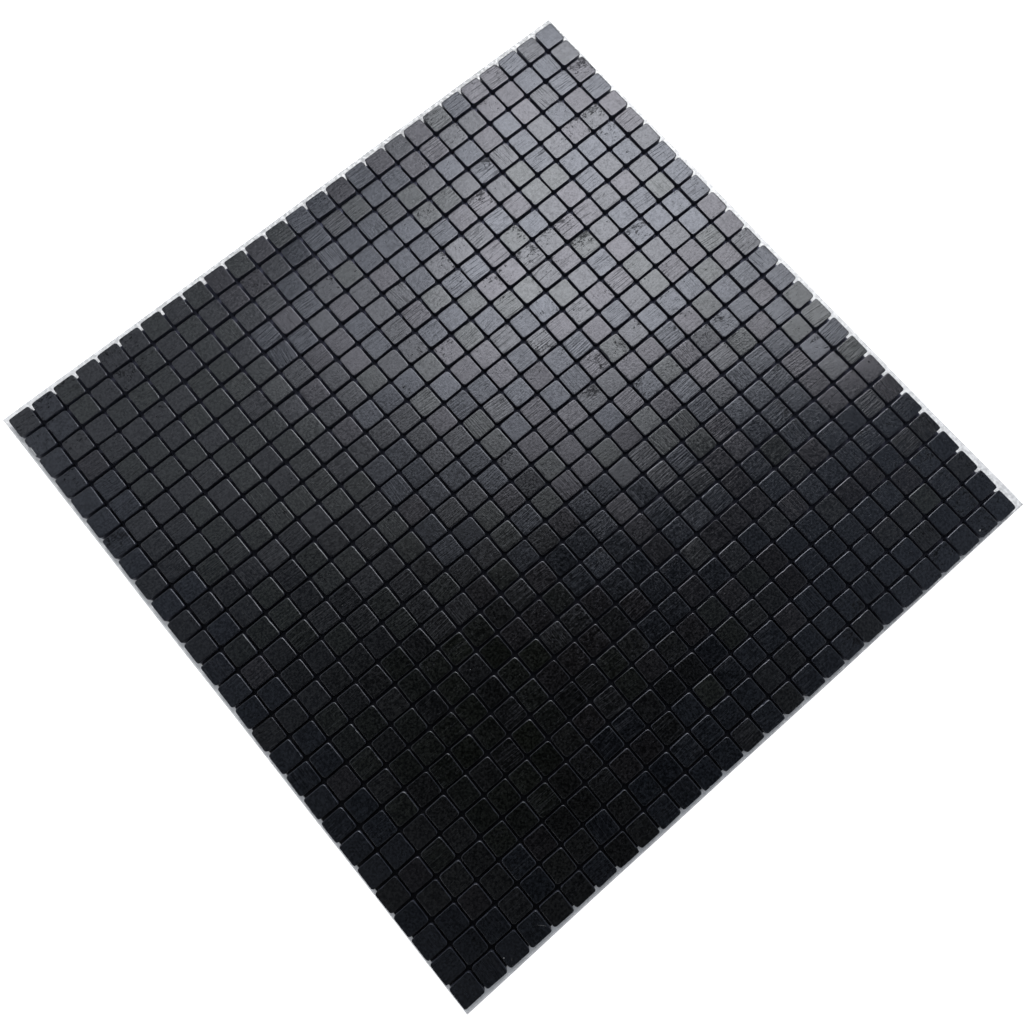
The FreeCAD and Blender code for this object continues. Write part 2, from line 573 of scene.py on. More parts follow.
push_x = np.zeros(GRID)
push_y = np.zeros(GRID)
for at_x, at_y, reach, by_x, by_y in PUSHES:
    near = np.exp(-((ALONG_X - at_x) ** 2 + (ALONG_Y - at_y) ** 2) / reach ** 2)
    push_x += by_x * near
    push_y += by_y * near
print("largest push in mm:", round(float(np.hypot(push_x, push_y).max()), 2))

# %% [markdown]
# On top of the pushes, each chip has a small shift of its own, a turn and a tilt, a size, four
# corner radii and a degree of wear. Sizes are kept as half a chip's length and width, because
# its outline is drawn round its middle.

# %% Draw the differences in place and form
MOST_SPREADS = 2.2
# in millimetres, but the turn in degrees, the tilt as a slope and the wear as a share
SHIFT_X_SPREAD = 0.06
SHIFT_Y_SPREAD = 0.07
TURN_SPREAD = 0.75
TILT_SPREAD = 0.008
MOST_SUNK = 0.06
DISH_SPREAD = 0.014
HALF_SPREAD = 0.035
CORNER_RADII = (0.75, 1.25)
WEAR_SPREAD = 0.18

chance = np.random.default_rng(27)


def spread(middle, width):
    """One number for each chip, near the middle, and never far out."""
    return middle + width * np.clip(chance.normal(size=GRID), -MOST_SPREADS, MOST_SPREADS)


shift_x = push_x + spread(0, SHIFT_X_SPREAD)
shift_y = push_y + spread(0, SHIFT_Y_SPREAD)
turn = np.radians(spread(0, TURN_SPREAD))
tilt_x = spread(0, TILT_SPREAD)
tilt_y = spread(0, TILT_SPREAD)
sunk = chance.uniform(0.0, MOST_SUNK, GRID)
dished = np.abs(spread(0, DISH_SPREAD))
half_x = CHIP_X / 2 + spread(0, HALF_SPREAD)
half_y = CHIP_Y / 2 + spread(-HALF_SPREAD, HALF_SPREAD)
corner_radii = chance.uniform(*CORNER_RADII, GRID + (4,))
rubbed = spread(1.0, WEAR_SPREAD)
print("largest turn in degrees:", round(float(np.degrees(np.abs(turn).max())), 2))

# %% [markdown]
# Where the roller ran off the sheet it squeezed the outermost chips outwards, and less so the
# next ones. The chips towards the -X and -Y sides are cut a little smaller, and in the first
# rows the last chip is narrower.

# %% Press the outermost chips outwards
FADE = 1.3  # in chips
# in millimetres, at the start and at the end of each side, or of the field
SQUEEZED = {"left": (0.12, 0.23), "right": (0.0, 0.20), "front": (0.26, 0.26),
            "back": (0.33, 0.33)}
SMALLER_X = (0.07, 0.0)
SMALLER_Y = (0.05, 0.02)
NARROWER = 0.13
NARROWER_REACH = 0.4


def between(ends, along):
    """From the first of two values to the second, as along goes from 0 to 1."""
    start, end = ends
    return start + (end - start) * along


shift_x -= between(SQUEEZED["left"], ALONG_Y) * np.exp(-COLUMN / FADE)
shift_x += between(SQUEEZED["right"], ALONG_Y) * np.exp((COLUMN - COLUMNS + 1) / FADE)
shift_y -= between(SQUEEZED["front"], ALONG_X) * np.exp(-ROW / FADE)
shift_y += between(SQUEEZED["back"], ALONG_X) * np.exp((ROW - ROWS + 1) / FADE)
half_x -= between(SMALLER_X, ALONG_X)
half_y -= between(SMALLER_Y, ALONG_Y)
narrower = NARROWER * np.clip(1 - ALONG_Y[:, -1] / NARROWER_REACH, 0, 1)
half_x[:, -1] -= narrower
shift_x[:, -1] -= narrower
print("last row's mean shift in mm:", round(float(shift_y[-1].mean()), 2))

# %% [markdown]
# ## How the finish differs
#
# Streaks run along X on most chips and along Y on the rest, because chips were turned as they
# were laid. Pits come in neighbourhoods, since chips of one slab lie together. Most chips have
# hardly any, some have many, and a few are mottled all over. On each chip they lean to one
# side. Each chip reads its noise from a far-off place of its own, which keeps the pattern from
# running on over the joints.

# %% Draw the differences in finish
ALONG_X_SHARE = 0.85
GRAIN_SPREAD = 3  # degrees
NOISE_REACH = 300
TONE_SPREAD = 0.22
HONE_SPREAD = 0.0135
STREAKED_SHARE = 0.38
STREAKS = (1.25, 0.30)
FAINT_STREAKS = (0.40, 0.18)
WAVES_PER_SHEET = (0.6, 2.2)
PITS = 0.46
PIT_WAVES = 0.12
PIT_CHANCE = 0.18
PIT_LIMITS = (0.1, 1.1)
PIT_LEANS = ((0.12, 0.22), (0.22, 0.22))


def long_waves(reach, count=5):
    """A soft variation over the whole grid, as the sum of a few long waves."""
    total = np.zeros(GRID)
    for _ in range(count):
        heading, phase = chance.uniform(0, 2 * math.pi, 2)
        pace = chance.uniform(*WAVES_PER_SHEET)
        run = ALONG_X * math.cos(heading) + ALONG_Y * math.sin(heading)
        total += np.sin(2 * math.pi * pace * run + phase)
    return reach * total / count ** 0.5


grain = np.where(chance.random(GRID) < ALONG_X_SHARE, 0.0, math.pi / 2)
grain += np.radians(spread(0, GRAIN_SPREAD))
noise_place = chance.uniform(-NOISE_REACH, NOISE_REACH, GRID + (3,))
tone = np.exp(spread(0, TONE_SPREAD))
hone = spread(STONE_ROUGHNESS, HONE_SPREAD)
plainly = chance.random(GRID) < STREAKED_SHARE
streaked = np.where(plainly, spread(*STREAKS), spread(*FAINT_STREAKS))
pitted = PITS + long_waves(PIT_WAVES) + PIT_CHANCE * chance.exponential(1.0, GRID)
pitted = np.clip(pitted, *PIT_LIMITS)
pit_lean = [spread(*lean) for lean in PIT_LEANS]
print("plainly streaked chips:", int(plainly.sum()))

# %% [markdown]
# A chip's hue is drawn by chance too, but the hues aren't mixed evenly over the sheet. The first
# column and the first two rows are mostly blue, which is a painted reflection of the bluish room
# that those border chips mirror, and the chips inside on the left are greener.

# %% Give each chip its hue
HUE_SHARES = (0.36, 0.24, 0.13, 0.27)
BLUE_COLUMNS = 1
BLUE_ROWS = 2
GREEN_COLUMNS = range(2, 9)
GREEN_FROM_ROW = 3

BLUE, STEEL, GREEN, VIOLET = range(len(STONE_HUES))
hue = chance.choice(len(STONE_HUES), GRID, p=HUE_SHARES)
# painted reflection: the border chips get the blue hue of the bluish room they mirror
painted_reflection_border = (COLUMN < BLUE_COLUMNS) | (ROW < BLUE_ROWS)
hue[painted_reflection_border & (hue != STEEL)] = BLUE
inside_left = np.isin(COLUMN, GREEN_COLUMNS) & (ROW >= GREEN_FROM_ROW)
hue[inside_left & (hue == BLUE)] = GREEN
hue[inside_left & (hue == VIOLET)] = STEEL
print("chips of each hue:", dict(zip(STONE_HUES, np.bincount(hue.ravel()).tolist())))

# %% [markdown]
# ## The outline of a chip
#
# Seen from above a chip is a square with round corners, and in section its top edge is worn
# round. Both are quickly made from rings of points: an outline with the outward direction at
# each point, which is moved inwards and down step by step. A bevel modifier would do the same
# on every chip alike, while rings let each point of the edge be worn to its own degree.

# %% Outline of a chip
SIDE_STEPS = 8
ARC_STEPS = 4
RING = 4 * (SIDE_STEPS + ARC_STEPS)
CORNERS = ((1, 1), (-1, 1), (-1, -1), (1, -1))


def chip_outline(reach_x, reach_y, radii):
    """Points round a chip, anticlockwise from its +X side, and the outward direction there."""
    arcs = []
    ways = []
    for corner, (side_x, side_y) in enumerate(CORNERS):
        angle = math.pi / 2 * (corner + np.linspace(0, 1, ARC_STEPS))
        way = np.stack([np.cos(angle), np.sin(angle)], -1)
        radius = radii[corner]
        centre = np.array([side_x * (reach_x - radius), side_y * (reach_y - radius)])
        arcs.append(centre + radius * way)
        ways.append(way)
    points = []
    outward = []
    share = np.linspace(0, 1, SIDE_STEPS + 2)[1:-1, None]
    for corner in range(4):
        last, first = arcs[corner][-1], arcs[(corner + 1) % 4][0]
        points += [arcs[corner], last + share * (first - last)]
        outward += [ways[corner], np.repeat(ways[corner][-1:], SIDE_STEPS, 0)]
    return np.concatenate(points), np.concatenate(outward)


print("points round a chip:", len(chip_outline(5, 5, (1.2,) * 4)[0]))

# %% [markdown]
# ## The worn edge of a chip
#
# The section of the edge is a short list of insets and drops: a sharp turn over the sawn side,
# then a narrow flat bevel of about 20 degrees, which is what flashes in the light. Wear widens
# it: each inset is raised to a power, so the ring moves inwards but never past the ring that
# ends the bevel.

# %% Section of the edge
# inset and drop in millimetres, then how much each ring is edge, sawn and scuffed
BEVEL = (
    (0.000, 0.170, 0.5, 0.9, 0.0),
    (0.020, 0.105, 0.8, 0.3, 0.0),
    (0.045, 0.075, 1.0, 0.1, 0.0),
    (0.060, 0.067, 1.0, 0.0, 0.0),
    (0.215, 0.013, 0.9, 0.0, 0.2),
    (0.260, 0.006, 0.4, 0.0, 0.6),
    (0.330, 0.001, 0.1, 0.0, 1.0),
    (0.680, 0.000, 0.0, 0.0, 0.3),
)
BEVEL_END = BEVEL[-1][0]
print("bevel's width in mm:", BEVEL_END)

# %% [markdown]
# Each side of a chip has a wear and a steepness of its own. Around the outline, the wear
# changes softly and has a few nicks, where a flake has come off.

# %% Wear round the edge
SIDE_SHARES = np.array([1.06, 0.84, 0.48, 0.50])  # +X, +Y, -X and -Y
SIDE_SPREAD = 0.15
CORNER_WEAR = 1.4
WEAR_WAVES = (1, 2, 3, 5, 8)
WAVE_WEAR = 0.045
NICK_WEAR = (0.5, 1.6)
NICK_WIDTH = (0.05, 0.14)
WEAR_LIMITS = (0.40, 3.4)


def by_side(outward, middle, width):
    """A value for each of a chip's four sides, blended round its corners."""
    way = np.maximum(outward @ np.array([[1, 0, -1, 0], [0, 1, 0, -1]]), 0) ** 2
    return way @ np.clip(chance.normal(middle, width, 4), middle - 2 * width, middle + 2 * width)


def wear_round(amount, nicks, outward):
    """How far the edge is worn at each point round a chip, where 1 is the usual wear."""
    angle = np.linspace(0, 2 * math.pi, RING, endpoint=False)
    wear = amount * by_side(outward, SIDE_SHARES, SIDE_SPREAD)
    for wave in WEAR_WAVES:
        height = WAVE_WEAR * chance.normal()
        wear += height * np.sin(wave * angle + chance.uniform(0, 2 * math.pi))
    at_corner = np.arange(RING) % (SIDE_STEPS + ARC_STEPS) < ARC_STEPS
    wear[at_corner] *= CORNER_WEAR
    for _ in range(nicks):
        away = np.angle(np.exp(1j * (angle - chance.uniform(0, 2 * math.pi))))
        nick = chance.uniform(*NICK_WEAR)
        wear += nick * np.exp(-(away / chance.uniform(*NICK_WIDTH)) ** 2)
    return np.clip(wear, *WEAR_LIMITS)


print("mean wear of a chip's four sides:", round(float(SIDE_SHARES.mean()), 2))

# %% [markdown]
# A few edges on the real sheet are ground or broken further, and they are listed by chip. The
# sheet's own +X side is ground more than the rest, along its farther half.

# %% Wear of single sides
# row, column, wear at the -Y and the +Y end of the -X side, from and to in mm, broken
SIDE_WEAR = (
    (26, 25, 1.8, 3.4, -5.0, 5.0, 0.0),
    (25, 0, 3.4, 2.6, -4.0, 0.5, 1.0),
    (14, 19, 2.6, 1.6, -3.0, 3.5, 0.0),
)
GROUND_ROWS = range(13, ROWS)
GROUND_WEAR = 2.6


def wear_sides(row, column, outline, outward, wear):
    """Adds the listed wear of this chip's -X side, and says which points are broken off."""
    broken = np.zeros(RING)
    for at_row, at_column, low_wear, high_wear, low, high, pale in SIDE_WEAR:
        if (row, column) != (at_row, at_column):
            continue
        y = outline[:, 1]
        on_side = (outward[:, 0] < -0.5) & (y > low) & (y < high)
        wear[on_side] = np.interp(y[on_side], (low, high), (low_wear, high_wear))
        broken[on_side] = pale
    if column == COLUMNS - 1 and row in GROUND_ROWS:
        wear[outward[:, 0] > 0.5] += GROUND_WEAR - 1
    return broken


print("rows with a ground +X side:", len(GROUND_ROWS))

# %% [markdown]
# ## A whole chip
#
# The rings are stacked from the chip's foot up over the worn edge and onto its face, where one
# more ring and a middle point carry a very slight hollow from honing. The face is tilted a
# little, and lowered by as much, so that nothing stands above the height that the frame gives.
# The same call works out what the materials read at each point.

# %% Points of a chip
FOOT_INSET = 0.12
FACE_RING = 0.6
FACE_RING_DISH = 0.7
MOST_NICKS = 2
STEEP_BY_WEAR = 0.6
STEEP_SPREAD = 0.18
RINGS = len(BEVEL) + 2
CHIP_POINTS = RING * RINGS + 2
face_plane = {}


def chip_points(row, column):
    """The points of one chip round its own middle, and masks of what is worn, sawn or broken."""
    reach_x, reach_y = half_x[row, column], half_y[row, column]
    outline, outward = chip_outline(reach_x, reach_y, corner_radii[row, column])
    wear = wear_round(rubbed[row, column], chance.integers(0, MOST_NICKS + 1), outward)
    broken = wear_sides(row, column, outline, outward, wear)
    steep = wear ** STEEP_BY_WEAR * by_side(outward, 1.0, STEEP_SPREAD)
    slope = np.array([tilt_x[row, column], tilt_y[row, column]])
    top = FACE_Z - sunk[row, column] - abs(slope) @ (reach_x, reach_y)
    face_plane[row, column] = (top, slope)

    def on_face(flat, drop):
        return np.column_stack([flat, top - drop + flat @ slope])

    rings = [np.column_stack([outline - FOOT_INSET * outward, np.full(RING, FOOT_Z)])]
    nothing = np.zeros(RING)
    masks = {"edge": [nothing], "sawn": [nothing + 1], "scuffed": [nothing], "broken": [nothing]}
    for inset, drop, edge, sawn, scuffed in BEVEL:
        inward = BEVEL_END * (inset / BEVEL_END) ** (1 / wear)
        rings.append(on_face(outline - inward[:, None] * outward, drop * steep))
        masks["edge"].append(nothing + edge)
        masks["sawn"].append(nothing + sawn)
        masks["scuffed"].append(scuffed * np.clip(-outward[:, 0], 0, 1))
        masks["broken"].append(broken * (0 < inset < BEVEL_END))
    dish = dished[row, column]
    rings.append(on_face(rings[-1][:, :2] * FACE_RING, FACE_RING_DISH * dish))
    middle = on_face(np.zeros((1, 2)), dish)
    under = np.array([[0, 0, FOOT_Z]])
    points = np.concatenate(rings + [middle, under])
    return points, {name: np.append(np.concatenate(mask), np.zeros(RING + 2))
                    for name, mask in masks.items()}


print("points of a chip:", CHIP_POINTS)

# %% [markdown]
# ## Faces between the rings
#
# All chips have the same number of rings and points, so their faces are worked out once, as
# numbers of points. Each chip then only adds where its own points start.

# %% Faces of a chip
def ring_bands(rings):
    """Four-sided faces between each ring and the next, facing outwards."""
    here = np.arange(RING)
    following = (here + 1) % RING
    bands = [
        np.stack([here, following, following + RING, here + RING], -1) + level * RING
        for level in range(rings - 1)
    ]
    return np.concatenate(bands)


def fan(ring, middle, upwards):
    """Three-sided faces from a ring of points to one middle point."""
    following = np.roll(ring, -1)
    first, second = (ring, following) if upwards else (following, ring)
    return np.stack([first, second, np.full(len(ring), middle)], -1)


CHIP_BANDS = ring_bands(RINGS)
CHIP_FANS = np.concatenate([
    fan(np.arange(RING) + (RINGS - 1) * RING, CHIP_POINTS - 2, True),
    fan(np.arange(RING), CHIP_POINTS - 1, False),
])
print("faces of a chip:", len(CHIP_BANDS), "four-sided,", len(CHIP_FANS), "three-sided")

# %% [markdown]
# ## Meshes with attributes
#
# Blender takes points and faces as plain lists. Anything else that a material should know about
# a point goes into a named attribute, filled in one call from a table. The object stays at the
# origin, and its place is in its mesh.

# %% Mesh helpers
def mesh_object(name, points_mm, faces, materials):
    """An object at the origin, from points in millimetres and lists of point numbers."""
    mesh = bpy.data.meshes.new(name)
    mesh.from_pydata((points_mm * MM).tolist(), [], faces)
    mesh.shade_smooth()
    for material in materials:
        mesh.materials.append(material)
    piece = bpy.data.objects.new(name, mesh)
    bpy.context.scene.collection.objects.link(piece)
    return piece


def store(mesh, name, values):
    """Keeps one number or one vector for each point, under a name that nodes can read."""
    values = np.asarray(values, dtype=np.float32)
    kind, field = ("FLOAT", "value") if values.ndim == 1 else ("FLOAT_VECTOR", "vector")
    mesh.attributes.new(name, kind, "POINT").data.foreach_set(field, values.ravel())


# %% [markdown]
# ## Rows of chips
#
# A chip's points are made round its own middle. So they are first turned about the upright
# axis, and then moved to where the chip stands.

# %% Turn and place a chip
def turned(points, angle):
    """Points turned anticlockwise about the upright axis."""
    cos, sin = math.cos(angle), math.sin(angle)
    matrix = np.array([[cos, sin, 0], [-sin, cos, 0], [0, 0, 1]])
    return points @ matrix


def chip_middle(row, column):
    """Where the middle of a chip's foot is, in millimetres."""
    x = FIELD_LOW[0] + CHIP_X / 2 + column * PITCH_X + shift_x[row, column]
    y = FIELD_LOW[1] + CHIP_Y / 2 + row * PITCH_Y + shift_y[row, column]
    return np.array([x, y, 0.0])


print("middle of the first chip in mm:", chip_middle(0, 0).round(2).tolist())

# %% [markdown]
# A row is one piece, as it is in the frame, and stands for that row's node. The noise space
# that its material reads is turned against the streaks' heading, so that its first axis follows
# the saw lines.

# %% Build the rows
def stone_row(row):
    """All chips of one row, as one piece in place of the row's node."""
    tables = {"edge": [], "sawn": [], "scuffed": [], "broken": [], "saw_space": [], "pitted": []}
    points = []
    for column in range(COLUMNS):
        local, masks = chip_points(row, column)
        points.append(turned(local, turn[row, column]) + chip_middle(row, column))
        for title, mask in masks.items():
            tables[title].append(mask)
        saw_space = turned(local, -grain[row, column]) + noise_place[row, column]
        tables["saw_space"].append(saw_space)
        lean = np.array([part[row, column] for part in pit_lean]) / (CHIP_X / 2)
        tables["pitted"].append(pitted[row, column] * (1 + local[:, :2] @ lean))
    starts = np.arange(COLUMNS)[:, None, None] * CHIP_POINTS
    bands = (CHIP_BANDS + starts).reshape(-1, 4)
    fans = (CHIP_FANS + starts).reshape(-1, 3)
    name = f"stone_row_{row + 1:02d}"
    piece = mesh_object(name, np.concatenate(points), bands.tolist() + fans.tolist(),
                        stone_materials)
    for title, table in tables.items():
        store(piece.data, title, np.concatenate(table))
    for title, table in (("tone", tone), ("hone", hone), ("streaked", streaked)):
        store(piece.data, title, np.repeat(table[row], CHIP_POINTS))
    hues = [np.repeat(hue[row], len(CHIP_BANDS)), np.repeat(hue[row], len(CHIP_FANS))]
    piece.data.polygons.foreach_set("material_index", np.concatenate(hues).astype(np.int32))
    return piece


stone_rows = []
for row, node in enumerate(ROW_NODES):
    piece = stone_row(row)
    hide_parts(node)
    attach(piece, "root")
    stone_rows.append(piece)
print(len(stone_rows), "rows,", sum(len(p.data.polygons) for p in stone_rows), "faces")

# %% [markdown]
# ## Thin sheets
#
# Film and liner are both thin sheets with a little relief. A grid of points, with a height for
# the top and one for the underside at each, makes such a sheet.

# %% Sheet helper
def sheet_piece(name, x, y, top, bottom, material):
    """A thin closed sheet between two fields of heights over the same grid of points."""
    grid = np.arange(x.size).reshape(x.shape)
    upper = np.stack([grid[:-1, :-1], grid[:-1, 1:], grid[1:, 1:], grid[1:, :-1]], -1)
    upper = upper.reshape(-1, 4)
    lower = upper[:, ::-1] + x.size
    rim = np.concatenate([grid[0], grid[1:, -1], grid[-1, -2::-1], grid[-2:0:-1, 0]])
    following = np.roll(rim, -1)
    sides = np.stack([rim + x.size, following + x.size, following, rim], -1)
    points = np.concatenate([
        np.stack([x.ravel(), y.ravel(), top.ravel()], -1),
        np.stack([x.ravel(), y.ravel(), bottom.ravel()], -1),
    ])
    faces = np.concatenate([upper, lower, sides])
    piece = mesh_object(name, points, faces.tolist(), [material])
    smooth = np.ones(len(faces), dtype=bool)
    smooth[-len(sides):] = False
    piece.data.polygons.foreach_set("use_smooth", smooth)
    return piece


# %% [markdown]
# The grid's lines needn't be even. They are close together in the joints, where there is
# something to show, and far apart under the chips.

# %% Lines of a sheet's grid
PITCHES = (PITCH_X, PITCH_Y)
COUNTS = (COLUMNS, ROWS)
LEAST_GAP = 0.05


def grid_lines(axis, low, high, in_joint, on_chip):
    """Places of grid lines along X (axis 0) or Y (axis 1), between two corners of a sheet.

    in_joint are places within a joint, as shares of it, and on_chip are millimetres from a
    chip's sides. Each line comes with its place in the joint, or -1 on a chip.
    """
    low, high = low[axis], high[axis]
    chip = PITCHES[axis] - JOINT
    lines = []
    for number in range(COUNTS[axis]):
        start = FIELD_LOW[axis] + number * PITCHES[axis]
        if number:
            lines += [(start - JOINT + share * JOINT, share) for share in in_joint]
        lines += [(start + (place if place >= 0 else chip + place), -1) for place in on_chip]
    inner = [line for line in lines if low + LEAST_GAP < line[0] < high - LEAST_GAP]
    return np.array([(low, -1)] + inner + [(high, -1)]).T


print("pitches in mm:", [round(float(pitch), 2) for pitch in PITCHES])

# %% [markdown]
# ## The black film
#
# When the chips are pressed on, the adhesive rises a little beside them, and stays low in the
# middle of the joint. The bead's height is largest at the joint's sides, and chance makes it
# uneven. Where two joints cross, the lower of the two beads counts. How much painted light the
# film gets goes with the distance from the near left corner, so it is strongest towards the far
# corner, where the window's light falls.

# %% Build the film
BEAD = 0.16
BEAD_SHARES = (0.06, 0.5, 0.94)
BEAD_RANGE = (0.3, 1.0)
FILM_SINK = 0.01
BESIDE_JOINT = 0.4
JOINT_LIGHT_LIMIT = 0.8
JOINT_LIGHT_NEAR = 0.020


def bead_height(share_x, share_y):
    """The bead's height, from 0 to 1, at each point of the grid."""
    rise_x = np.where(share_x < 0, -1, 4 * (share_x - 0.5) ** 2)
    rise_y = np.where(share_y < 0, -1, 4 * (share_y - 0.5) ** 2)
    both = np.minimum(rise_x, rise_y)
    either = np.maximum(rise_x, rise_y)
    return np.where(both >= 0, both, np.maximum(either, 0))


(film_x, share_x), (film_y, share_y) = (
    grid_lines(axis, film_low, film_high, BEAD_SHARES, (BESIDE_JOINT, chip / 2, -BESIDE_JOINT))
    for axis, chip in enumerate((CHIP_X, CHIP_Y))
)
x, y = np.meshgrid(film_x, film_y)
rise = bead_height(*np.meshgrid(share_x, share_y))
top = film_high[2] - FILM_SINK + BEAD * rise * chance.uniform(*BEAD_RANGE, x.shape)
bottom = np.full(x.shape, film_low[2])
film = sheet_piece("black_film", x, y, top, bottom, film_material)
# painted light on the film: it grows towards the far corner, where the window's light falls
farness = ((x - film_low[0]) / (film_high[0] - film_low[0])
           + (y - film_low[1]) / (film_high[1] - film_low[1])) / 2
painted_joint_light = np.clip(farness, 0, JOINT_LIGHT_LIMIT) ** 3 + JOINT_LIGHT_NEAR * (1 - farness) ** 2
store(film.data, "painted_joint_light", np.tile(painted_joint_light.ravel(), 2))
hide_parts("adhesive_film")
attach(film, "root")
print("film faces:", len(film.data.polygons))

# %% [markdown]
# ## The white liner
#
# The liner was cut a little askew, so its margins beyond the chips change along each side. Its
# free edge isn't held by the film, and it lifts in soft waves. On the underside, the joints
# press through as faint hollow lines. The cut edge is rubbed grey, and greyer on the right and
# the back, where the added grey is painted shade on the sides that the lamps light most. So the
# edge mask is highest at the edge, and 0 at the next line of the grid, which lies where the grey
# ends.

# %% Where the liner's edges run
EDGE_BAND = 1.0
HOLLOW_SHARES = (0.2, 0.5, 0.8)
# depth of each wobble of the cut, its pace and its start
WOBBLES = ((0.02, 9, 2), (0.012, 23, 0))
# margins at the start and the end of each side, as a share of the margin in the frame
MARGINS = {"left": (0.41, 0.98), "right": (0.98, 0.60), "front": (0.94, 0.80),
           "back": (0.87, 0.98)}


def margin_share(side, along):
    """How wide the margin is at a place along the side, with a hand-cut wobble."""
    wobble = sum(depth * np.sin(pace * along + start) for depth, pace, start in WOBBLES)
    return np.clip(between(MARGINS[side], along) + wobble, 0, 1)


def liner_lines(axis):
    """Places of the liner's grid lines along one axis, and their places in the joints."""
    lines = grid_lines(axis, liner_low, liner_high, HOLLOW_SHARES, (PITCHES[axis] / 2,))
    edge = [[liner_low[axis] + EDGE_BAND, liner_high[axis] - EDGE_BAND], [-1, -1]]
    lines = np.concatenate([lines, edge], 1)
    return lines[:, np.argsort(lines[0])]


line_x, share_x = liner_lines(0)
line_y, share_y = liner_lines(1)
print("liner grid:", len(line_x), "x", len(line_y))

# %% [markdown]
# Each point beyond the film is moved in towards the film by its side's share. Its height comes
# from how far out it is, times a wave that runs round the sheet.

# %% Build the liner
LINER_THICK = liner_high[2] - liner_low[2]
LIFT = 0.30
LIFT_FROM = 0.3
LIFT_REACH = 5
LIFT_CURVE = 1.2
# height of each ripple of the lifted edge, and its pace and its start along X and along Y
RIPPLES = ((0.3, 19, 1, 17, 2), (0.2, 41, 0, 37, 1))
PRESSED = 0.04

x, y = np.meshgrid(line_x, line_y)
along_x = (x - liner_low[0]) / (liner_high[0] - liner_low[0])
along_y = (y - liner_low[1]) / (liner_high[1] - liner_low[1])
outside = {
    "left": (film_low[0] - x, along_y), "right": (x - film_high[0], along_y),
    "front": (film_low[1] - y, along_x), "back": (y - film_high[1], along_x),
}
out = np.zeros(x.shape)
cut = {}
for side, (beyond, along) in outside.items():
    beyond = np.clip(beyond, 0, None)
    out = np.maximum(out, beyond)
    cut[side] = beyond * (1 - margin_share(side, along))
moved_x = x + cut["left"] - cut["right"]
moved_y = y + cut["front"] - cut["back"]
wave = 0.5 + sum(
    height * np.sin(pace_x * along_x + start_x) * np.sin(pace_y * along_y + start_y)
    for height, pace_x, start_x, pace_y, start_y in RIPPLES
)
lift = LIFT * wave * (np.clip(out - LIFT_FROM, 0, None) / LIFT_REACH) ** LIFT_CURVE
both = np.stack(np.meshgrid(share_x, share_y))
hollow = np.clip(1 - 4 * (both - 0.5) ** 2, 0, 1) * (both >= 0)
pressed = PRESSED * hollow.max(0) * (out == 0)
liner = sheet_piece("white_liner", moved_x, moved_y, LINER_THICK + lift, lift + pressed,
                    liner_material)
print("liner faces:", len(liner.data.polygons))

# %% [markdown]
# One mask says how grey the cut edge is on each side: a little rubbed grey everywhere, and more
# on the right and the back, which is painted shade on the sides that the lamps light most.
# Another, for the upper side only, says how much painted shade the paper gets, which grows
# towards the right and along the back.

# %% Rub the liner's edge, and paint shade on the liner
# how grey each cut edge is: a little rub on every side, and painted shade on the lit right and
# back
EDGE_GREY_AND_SHADE = {"left": 0.10, "right": 0.45, "front": 0.10, "back": 0.60}
PAINTED_SHADE_RIGHT = 0.40
PAINTED_SHADE_BACK = (0.3, 1.2)
PAINTED_SHADE_FADE = 8

rim = np.zeros(x.shape)
rim[:, 0], rim[:, -1] = EDGE_GREY_AND_SHADE["left"], EDGE_GREY_AND_SHADE["right"]
rim[0], rim[-1] = EDGE_GREY_AND_SHADE["front"], EDGE_GREY_AND_SHADE["back"]
store(liner.data, "edge", np.tile(rim.ravel(), 2))
# painted shade on the upper side, where the lamps light the paper most
at_back = np.clip(between(PAINTED_SHADE_BACK, along_x), 0, 1) * along_y ** PAINTED_SHADE_FADE
liner_painted_shade = np.maximum(PAINTED_SHADE_RIGHT * along_x, at_back)
store(liner.data, "liner_painted_shade", np.concatenate([liner_painted_shade.ravel(), 0 * liner_painted_shade.ravel()]))
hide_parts("release_liner")
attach(liner, "root")
print("grubbiest place:", round(float(liner_painted_shade.max()), 2))

# %% [markdown]
# ## Flecks, scratches and crumbs
#
# A few pale marks show against the black. A fleck or scratch is a thin flake of light stone on
# a chip's face, and a crumb is a small lump that lies on the film where two joints cross. Both
# are low domes: a ragged ring with one point above its middle and one below.

# %% Shapes of the small marks
DOME_POINTS = 9
DOME_RAGGED = (0.75, 1.1)
DOME_BELOW = 0.02


def dome(centre, length, width, heading, rise):
    """A ragged low dome round a centre, as points and faces."""
    angle = np.linspace(0, 2 * math.pi, DOME_POINTS, endpoint=False)
    reach = chance.uniform(*DOME_RAGGED, DOME_POINTS)
    outline = np.stack([reach * np.cos(angle) * length / 2, reach * np.sin(angle) * width / 2,
                        np.zeros(DOME_POINTS)], -1)
    ends = np.array([[0, 0, rise], [0, 0, -DOME_BELOW]])
    points = turned(np.concatenate([outline, ends]), heading) + centre
    ring = np.arange(DOME_POINTS)
    faces = [fan(ring, DOME_POINTS, True), fan(ring, DOME_POINTS + 1, False)]
    return points, np.concatenate(faces)


def on_grid(place_x, place_y):
    """A place in pitches from the sheet's front left corner, as millimetres."""
    x = FIELD_LOW[0] - JOINT / 2 + place_x * PITCH_X
    y = FIELD_LOW[1] - JOINT / 2 + place_y * PITCH_Y
    return x, y


def on_chip(x, y):
    """A point on the face of the chip at x and y."""
    column = int((x - FIELD_LOW[0]) // PITCH_X)
    row = int((y - FIELD_LOW[1]) // PITCH_Y)
    top, slope = face_plane[row, column]
    middle = chip_middle(row, column)[:2]
    return np.array([x, y, top + (np.array([x, y]) - middle) @ slope])


print("points of a mark:", DOME_POINTS + 2)

